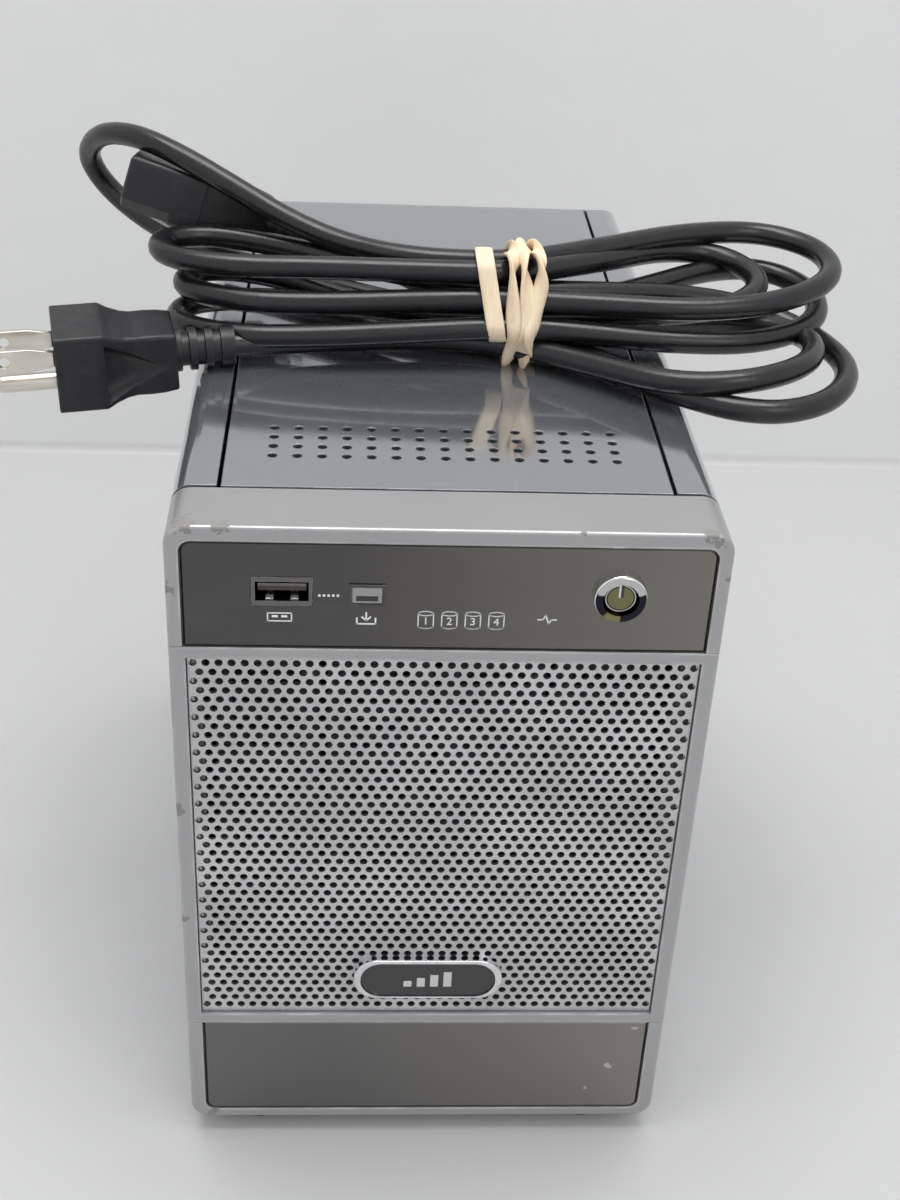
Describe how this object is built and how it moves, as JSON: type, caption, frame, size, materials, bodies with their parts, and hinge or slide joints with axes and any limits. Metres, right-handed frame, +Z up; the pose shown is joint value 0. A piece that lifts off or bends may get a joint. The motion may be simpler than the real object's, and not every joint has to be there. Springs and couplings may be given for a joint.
{
  "type": "network attached storage",
  "caption": "Upright desktop network storage unit with a perforated front door over vertical drive trays, mirrored fascias, and its power cord tied in a hank on top.",
  "frame": {"origin": "centre of the case in plan, on the surface that its rubber feet stand on; the tied power cord on top is left out of this", "axes": "+Z up, the front door faces -Y, +X to the right seen from the front"},
  "size_m": [0.2385, 0.224, 0.2464],
  "materials": {
    "silver_plastic": "satin metallic silver plastic",
    "silver_paint": "glossy blue-grey silver paint",
    "grey_steel": "satin grey paint",
    "perforated_steel": "bright perforated sheet",
    "smoked_mirror": "smoked mirror",
    "bright_chrome": "polished",
    "silver_button": "silver plastic",
    "tinned_steel": "tinned",
    "badge_black": "black",
    "zinc_steel": "zinc plated",
    "magnet": "sintered magnet",
    "tray_plastic": "dark grey",
    "tray_release": "blue",
    "drive_casting": "cast",
    "circuit_board": "solder mask",
    "black_plastic": "moulded black",
    "clear_pipe": "clear",
    "foot_rubber": "matte",
    "cord_rubber": "satin black",
    "band_rubber": "tan"
  },
  "bodies": {
    "case": {"backplane_board": "circuit_board", "backplane_sockets": "black_plastic", "backup_button_frame": "silver_button", "base_pan": "grey_steel", "board_standoffs": "zinc_steel", "case_fan_frame": "black_plastic", "case_screws": "zinc_steel", "cpu_heatsink": "drive_casting", "door_hinge_pins": "zinc_steel", "door_magnets": "magnet", "drive_cage": "zinc_steel", "ethernet_jack": "tinned_steel", "fan_guard": "zinc_steel", "front_bezel": "silver_plastic", "front_board": "circuit_board", "front_usb_port": "tinned_steel", "lcd_module": "black_plastic", "left_side_cover": "silver_paint", "light_pipes": "clear_pipe", "lower_mirror_panel": "smoked_mirror", "mainboard": "circuit_board", "mainboard_components": "black_plastic", "mains_inlet": "black_plastic", "memory_module": "circuit_board", "power_button_ring": "bright_chrome", "power_supply_case": "zinc_steel", "rear_panel": "grey_steel", "rear_usb_ports": "tinned_steel", "right_side_cover": "silver_paint", "rubber_feet": "foot_rubber", "top_panel": "silver_paint", "tray_guide_rails": "tray_plastic", "upper_mirror_panel": "smoked_mirror"},
    "door": {"door_frame": "silver_plastic", "door_mesh": "perforated_steel", "door_strike_plates": "zinc_steel", "badge_rim": "bright_chrome", "badge_plate": "badge_black"},
    "power_button": {"power_button": "bright_chrome"},
    "backup_button": {"backup_button": "silver_button"},
    "reset_button": {"reset_button": "black_plastic"},
    "fan_rotor": {"case_fan_rotor": "black_plastic"},
    "power_cord": {"power_cord_hank": "cord_rubber", "power_cord_left_loop": "cord_rubber", "rubber_band": "band_rubber", "mains_plug": "cord_rubber", "plug_blades": "zinc_steel", "appliance_connector": "cord_rubber"},
    "tray_1": {"drive_tray_1": "tray_plastic", "hard_drive_1": "drive_casting"},
    "tray_button_1": {"tray_button_1": "tray_release"},
    "tray_2": {"drive_tray_2": "tray_plastic", "hard_drive_2": "drive_casting"},
    "tray_button_2": {"tray_button_2": "tray_release"},
    "tray_3": {"drive_tray_3": "tray_plastic", "hard_drive_3": "drive_casting"},
    "tray_button_3": {"tray_button_3": "tray_release"},
    "tray_4": {"drive_tray_4": "tray_plastic", "hard_drive_4": "drive_casting"},
    "tray_button_4": {"tray_button_4": "tray_release"}
  },
  "joints": [
    {"name": "door_hinge", "type": "hinge", "parent": "case", "child": "door", "pos_m": [-0.0618, -0.1027, 0.105], "axis": [0, 0, -1], "range_deg": [0, 105]},
    {"name": "power_button_press", "type": "slide", "parent": "case", "child": "power_button", "axis": [0, 1, 0], "range_m": [0, 0.0015], "stiffness_N_per_m": 500, "springref_m": -0.001},
    {"name": "backup_button_press", "type": "slide", "parent": "case", "child": "backup_button", "axis": [0, 1, 0], "range_m": [0, 0.001], "stiffness_N_per_m": 500, "springref_m": -0.001},
    {"name": "reset_button_press", "type": "slide", "parent": "case", "child": "reset_button", "axis": [0, -1, 0], "range_m": [0, 0.0008], "stiffness_N_per_m": 500, "springref_m": -0.001},
    {"name": "fan_spin", "type": "hinge", "parent": "case", "child": "fan_rotor", "pos_m": [0, 0.096, 0.104], "axis": [0, 1, 0], "continuous": true},
    {"name": "cord_lift", "type": "slide", "parent": "case", "child": "power_cord", "axis": [0, 0, 1], "range_m": [0, 0.15]},
    {"name": "tray_1_slide", "type": "slide", "parent": "case", "child": "tray_1", "axis": [0, -1, 0], "range_m": [0, 0.016]},
    {"name": "tray_2_slide", "type": "slide", "parent": "case", "child": "tray_2", "axis": [0, -1, 0], "range_m": [0, 0.016]},
    {"name": "tray_3_slide", "type": "slide", "parent": "case", "child": "tray_3", "axis": [0, -1, 0], "range_m": [0, 0.016]},
    {"name": "tray_4_slide", "type": "slide", "parent": "case", "child": "tray_4", "axis": [0, -1, 0], "range_m": [0, 0.016]},
    {"name": "tray_1_release", "type": "slide", "parent": "tray_1", "child": "tray_button_1", "axis": [0, 1, 0], "range_m": [0, 0.0015], "stiffness_N_per_m": 500, "springref_m": -0.001},
    {"name": "tray_2_release", "type": "slide", "parent": "tray_2", "child": "tray_button_2", "axis": [0, 1, 0], "range_m": [0, 0.0015], "stiffness_N_per_m": 500, "springref_m": -0.001},
    {"name": "tray_3_release", "type": "slide", "parent": "tray_3", "child": "tray_button_3", "axis": [0, 1, 0], "range_m": [0, 0.0015], "stiffness_N_per_m": 500, "springref_m": -0.001},
    {"name": "tray_4_release", "type": "slide", "parent": "tray_4", "child": "tray_button_4", "axis": [0, 1, 0], "range_m": [0, 0.0015], "stiffness_N_per_m": 500, "springref_m": -0.001}
  ]
}
